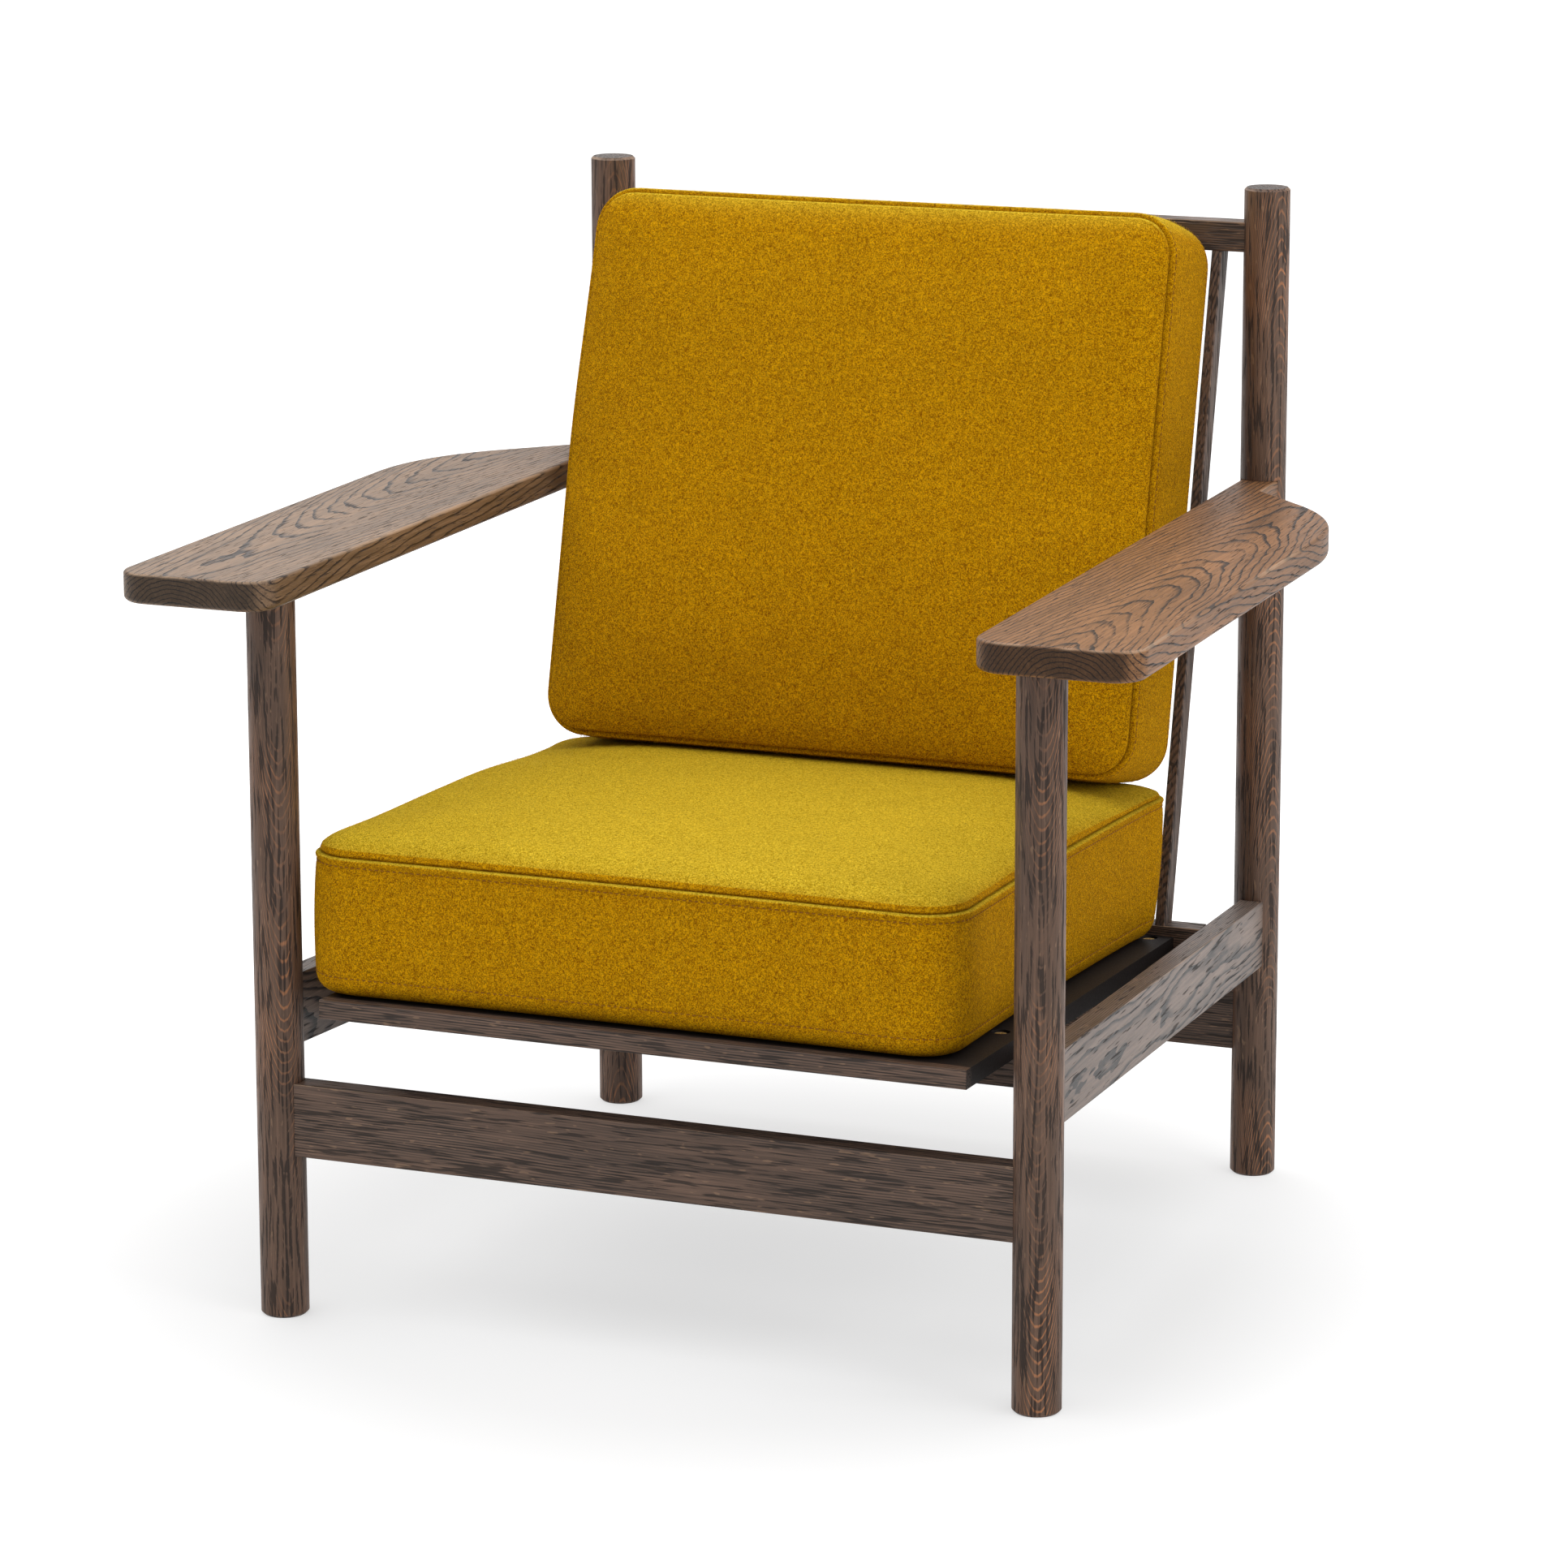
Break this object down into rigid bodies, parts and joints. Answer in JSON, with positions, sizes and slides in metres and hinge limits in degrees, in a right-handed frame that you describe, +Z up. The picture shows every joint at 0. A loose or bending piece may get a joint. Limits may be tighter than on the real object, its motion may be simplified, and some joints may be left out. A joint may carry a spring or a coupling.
{
  "type": "armchair",
  "caption": "Low easy chair in smoked oak with round legs, broad paddle armrests, an open slatted back and loose mustard felt cushions.",
  "frame": {"origin": "on the floor, in the middle of the chair's overall width and depth", "axes": "+X to the sitter's left, which is the viewer's right from the front, +Y towards the back, +Z up"},
  "size_m": [0.822, 0.7179, 0.847],
  "materials": {
    "smoked_oak": "oiled satin",
    "deck_board": "satin",
    "brass_screw": "bright",
    "wool_felt": "felted",
    "foam_core": "matt"
  },
  "bodies": {
    "frame": {"front_leg_left": "smoked_oak", "front_leg_right": "smoked_oak", "rear_post_left": "smoked_oak", "rear_post_right": "smoked_oak", "armrest_left": "smoked_oak", "armrest_right": "smoked_oak", "armrest_dowels": "smoked_oak", "side_rail_left": "smoked_oak", "side_rail_right": "smoked_oak", "front_stretcher": "smoked_oak", "rear_stretcher": "smoked_oak", "front_cross_rail": "smoked_oak", "slat_rail": "smoked_oak", "back_top_rail": "smoked_oak", "back_slat_1": "smoked_oak", "back_slat_2": "smoked_oak", "back_slat_3": "smoked_oak", "back_slat_4": "smoked_oak", "back_slat_5": "smoked_oak", "back_slat_6": "smoked_oak", "back_slat_7": "smoked_oak", "back_slat_8": "smoked_oak", "back_slat_9": "smoked_oak", "deck_lipping": "smoked_oak", "deck_ledger": "smoked_oak", "seat_deck": "deck_board", "deck_screws": "brass_screw"},
    "seat_cushion": {"seat_cushion_cover": "wool_felt", "seat_cushion_foam": "foam_core"},
    "back_cushion": {"back_cushion_cover": "wool_felt", "back_cushion_foam": "foam_core"}
  },
  "joints": [
    {"name": "seat_cushion_out", "type": "slide", "parent": "frame", "child": "seat_cushion", "axis": [0, -0.9986, 0.0523], "range_m": [0, 0.6]},
    {"name": "back_cushion_up", "type": "slide", "parent": "frame", "child": "back_cushion", "axis": [0, 0, 1], "range_m": [0, 0.5]}
  ]
}
